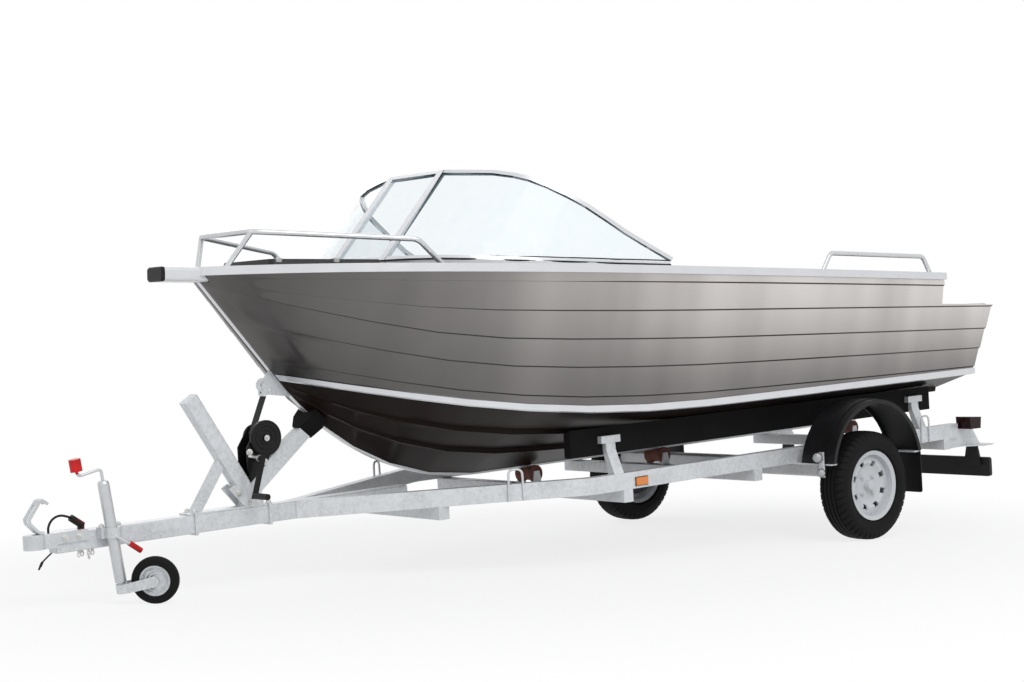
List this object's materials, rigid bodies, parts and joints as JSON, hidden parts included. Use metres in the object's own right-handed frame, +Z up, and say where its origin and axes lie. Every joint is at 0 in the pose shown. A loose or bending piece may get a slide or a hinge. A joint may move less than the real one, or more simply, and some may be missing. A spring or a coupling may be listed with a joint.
{
  "type": "aluminium runabout on a road trailer",
  "caption": "Pressed-plank aluminium runabout with wrap-round windscreen and bow rail, chocked on a galvanised single-axle road trailer with hand winch and jockey wheel",
  "frame": {"origin": "on the floor, below the middle of the bounding box", "axes": "+X towards the bow and coupling, +Y to port, +Z up"},
  "size_m": [5.5874, 1.97, 1.8888],
  "materials": {
    "hull_aluminium": "brushed, fine lengthwise grain",
    "bottom_dark": "satin near-black bottom paint",
    "bright_trim": "bright anodised extrusion",
    "deck_grey": "satin dark grey, fine texture",
    "hatch_dark": "smooth moulded lid",
    "sole_tread": "matt tread plate",
    "screen_glass": "clear, faint grey tint",
    "black_plastic": "moulded, fine grain",
    "seat_vinyl": "padded marine vinyl",
    "galvanised": "hot-dip galvanised, spangled",
    "lamp_white": "lens over white body",
    "lamp_red": "ribbed dark red lens",
    "bunk_cover": "rubber covered timber",
    "roller_rubber": "matt reddish-brown rubber",
    "winch_black": "semi-gloss black",
    "webbing": "woven webbing",
    "tyre": "matt rubber with fine tread",
    "wheel_silver": "silver stove enamel"
  },
  "bodies": {
    "boat_and_trailer": {"axle_beam": "galvanised", "bow_eye": "bright_trim", "bow_stop": "bunk_cover", "bowsprit": "bright_trim", "bunk_posts": "galvanised", "bunks": "bunk_cover", "chine_strips": "bright_trim", "cockpit_sole": "sole_tread", "coupling": "galvanised", "cross_tubes": "galvanised", "dash": "deck_grey", "drawbar": "galvanised", "foredeck": "deck_grey", "frame_brackets": "galvanised", "grab_rails": "bright_trim", "gunwales": "bright_trim", "hull_bottom_port": "bottom_dark", "hull_bottom_starboard": "bottom_dark", "hull_side_port": "hull_aluminium", "hull_side_starboard": "hull_aluminium", "jockey_crank": "galvanised", "jockey_tube": "galvanised", "keel_bar": "bright_trim", "keel_rollers": "roller_rubber", "lead_plug": "black_plastic", "light_board": "black_plastic", "marker_lamps": "lamp_white", "mudguard_port": "black_plastic", "mudguard_starboard": "black_plastic", "plug_lead": "black_plastic", "pulpit": "bright_trim", "rail_port": "galvanised", "rail_starboard": "galvanised", "rear_lamps": "lamp_red", "seat_backs": "seat_vinyl", "seat_bases": "deck_grey", "seat_cushions": "seat_vinyl", "sprit_cap": "black_plastic", "stern_bulkhead": "hull_aluminium", "stern_deck": "deck_grey", "strap_hook": "galvanised", "tie_loops": "galvanised", "transom": "hull_aluminium", "winch": "winch_black", "winch_handle": "winch_black", "winch_post": "galvanised", "winch_strap": "webbing", "windscreen_frame": "bright_trim", "windscreen_glass": "screen_glass"},
    "wheel_port": {"rim_port": "wheel_silver", "tyre_port": "tyre"},
    "wheel_starboard": {"rim_starboard": "wheel_silver", "tyre_starboard": "tyre"},
    "jockey_slider": {"jockey_leg": "galvanised"},
    "jockey_castor": {"jockey_fork": "galvanised"},
    "jockey_wheel": {"jockey_rim": "wheel_silver", "jockey_tyre": "tyre"},
    "hatch": {"bow_hatch": "hatch_dark"},
    "helm": {"helm_wheel": "black_plastic"}
  },
  "joints": [
    {"name": "wheel_port_spin", "type": "hinge", "parent": "boat_and_trailer", "child": "wheel_port", "pos_m": [-1.49936, 0.876, 0.285], "axis": [0, 1, 0], "continuous": true},
    {"name": "wheel_starboard_spin", "type": "hinge", "parent": "boat_and_trailer", "child": "wheel_starboard", "pos_m": [-1.49936, -0.876, 0.285], "axis": [0, 1, 0], "continuous": true},
    {"name": "jockey_extend", "type": "slide", "parent": "boat_and_trailer", "child": "jockey_slider", "axis": [-0.173, 0, -0.9849], "range_m": [0, 0.2]},
    {"name": "jockey_swivel", "type": "hinge", "parent": "jockey_slider", "child": "jockey_castor", "pos_m": [2.43589, 0.084, 0.2785], "axis": [0.173, 0, 0.9849], "continuous": true},
    {"name": "jockey_wheel_spin", "type": "hinge", "parent": "jockey_castor", "child": "jockey_wheel", "pos_m": [2.2936, 0.17776, 0.10015], "axis": [-0.6413, -0.759, 0.1126], "continuous": true},
    {"name": "bow_hatch_hinge", "type": "hinge", "parent": "boat_and_trailer", "child": "hatch", "pos_m": [1.19193, 0, 1.42027], "axis": [0, -1, 0], "range_deg": [0, 95]},
    {"name": "helm_turn", "type": "hinge", "parent": "boat_and_trailer", "child": "helm", "pos_m": [0.55136, -0.33, 1.24737], "axis": [-0.8849, 0, 0.4658], "range_deg": [-540, 540]}
  ]
}
